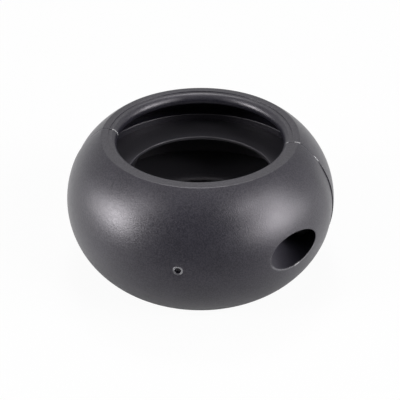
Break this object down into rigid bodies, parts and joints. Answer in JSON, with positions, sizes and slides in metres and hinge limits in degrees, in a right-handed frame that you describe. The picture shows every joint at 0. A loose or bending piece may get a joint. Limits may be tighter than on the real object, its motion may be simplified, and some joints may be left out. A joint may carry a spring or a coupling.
{
  "type": "split fence post insulator collar",
  "caption": "Round hollow plastic collar in two halves that close round a tube fence post, with screws sunk in deep side pockets.",
  "frame": {"origin": "centre of the collar, on the post's axis at mid-height", "axes": "+Z along the post; the halves part along Y, with the front half and its screw pocket facing -Y"},
  "size_m": [0.09, 0.09, 0.0474],
  "materials": {
    "shell": "fine-grained matte moulded plastic, charcoal",
    "dark_steel": "black oxide",
    "brass": "turned and knurled"
  },
  "bodies": {
    "front": {"front_half": "shell", "front_insert": "brass"},
    "rear": {"rear_half": "shell", "rear_insert": "brass"},
    "front_washer": {"front_washer": "dark_steel"},
    "front_screw": {"front_screw": "dark_steel"},
    "rear_washer": {"rear_washer": "dark_steel"},
    "rear_screw": {"rear_screw": "dark_steel"}
  },
  "joints": [
    {"name": "halves_part", "type": "slide", "parent": "front", "child": "rear", "axis": [0, 1, 0], "range_m": [0, 0.06]},
    {"name": "front_screw_rise", "type": "slide", "parent": "front", "child": "front_washer", "axis": [0, -1, 0], "range_m": [0, 0.01]},
    {"name": "front_screw_turn", "type": "hinge", "parent": "front_washer", "child": "front_screw", "pos_m": [0.0345, 0, 0], "axis": [0, -1, 0], "range_deg": [0, 3600]},
    {"name": "rear_screw_rise", "type": "slide", "parent": "rear", "child": "rear_washer", "axis": [0, 1, 0], "range_m": [0, 0.01]},
    {"name": "rear_screw_turn", "type": "hinge", "parent": "rear_washer", "child": "rear_screw", "pos_m": [-0.0345, 0, 0], "axis": [0, 1, 0], "range_deg": [0, 3600]}
  ],
  "couplings": [
    {"joint": "front_screw_turn", "follows": "front_screw_rise", "rad_per_m": 6283.2},
    {"joint": "rear_screw_turn", "follows": "rear_screw_rise", "rad_per_m": 6283.2}
  ]
}
